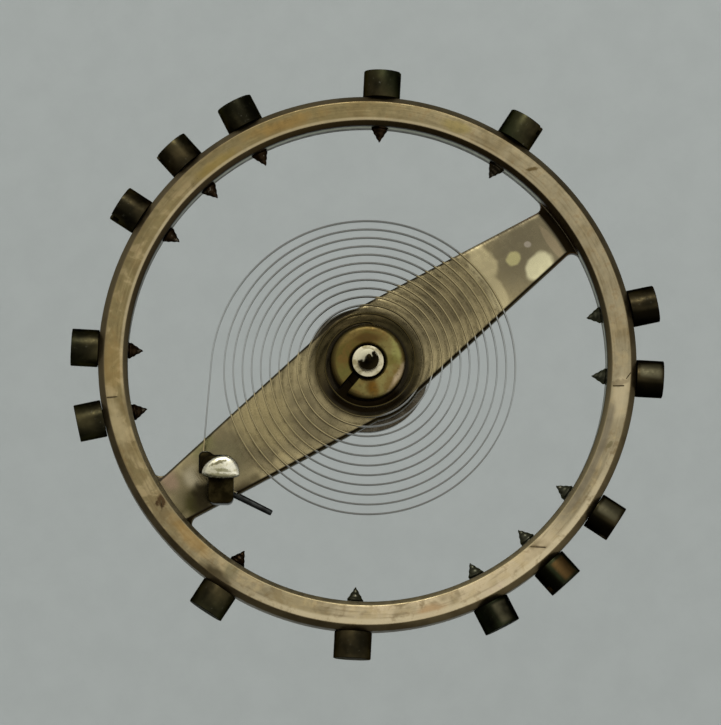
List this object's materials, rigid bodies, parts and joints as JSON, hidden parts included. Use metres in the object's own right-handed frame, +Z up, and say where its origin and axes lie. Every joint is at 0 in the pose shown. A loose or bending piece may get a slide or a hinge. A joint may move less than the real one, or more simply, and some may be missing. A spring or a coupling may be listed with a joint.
{
  "type": "balance wheel",
  "caption": "Plain screw balance with one tapering arm, slotted rim screws, staff with two pivots, double roller, flat spiral hairspring, split collet and stud.",
  "frame": {"origin": "tip of the lower pivot, on the staff's axis", "axes": "+Z up the staff towards the hairspring, X along the wheel's arm with the hairspring's stud over the -X half"},
  "size_m": [0.0178, 0.0188, 0.0053],
  "materials": {
    "rim_brass": "satin, fine circular graining, aged",
    "screw_dark": "dark patina, slot and head edges worn",
    "staff_steel": "turned and polished",
    "roller_steel": "polished edge, ground faces",
    "ruby": "polished stone",
    "collet_brass": "satin, aged",
    "pin_brass": "filed",
    "spring_steel": "drawn strip, smooth",
    "stud_steel": "dark sides, polished top",
    "pin_dark": "dark, drawn"
  },
  "bodies": {
    "stud_body": {"stud": "stud_steel", "stud_pin": "pin_dark"},
    "spring_body": {"collet": "collet_brass", "collet_pin": "pin_brass", "hairspring": "spring_steel"},
    "balance": {"balance_wheel": "rim_brass", "balance_staff": "staff_steel", "roller_table": "roller_steel", "impulse_jewel": "ruby", "safety_roller": "roller_steel", "balance_screw_01": "screw_dark", "balance_screw_02": "screw_dark", "balance_screw_03": "screw_dark", "balance_screw_04": "screw_dark", "balance_screw_05": "screw_dark", "balance_screw_06": "screw_dark", "balance_screw_07": "screw_dark", "balance_screw_08": "screw_dark", "balance_screw_09": "screw_dark", "balance_screw_10": "screw_dark", "balance_screw_11": "screw_dark", "balance_screw_12": "screw_dark", "balance_screw_13": "screw_dark", "balance_screw_14": "screw_dark"}
  },
  "joints": [
    {"name": "balance_swing", "type": "hinge", "parent": "stud_body", "child": "spring_body", "pos_m": [0, 0, 0.00371], "axis": [0, 0, 1], "range_deg": [-270, 270], "stiffness_Nm_per_rad": 0.0000099, "deforming": ["hairspring"]},
    {"name": "beat_setting", "type": "hinge", "parent": "spring_body", "child": "balance", "pos_m": [0, 0, 0.00371], "axis": [0, 0, 1], "continuous": true}
  ]
}
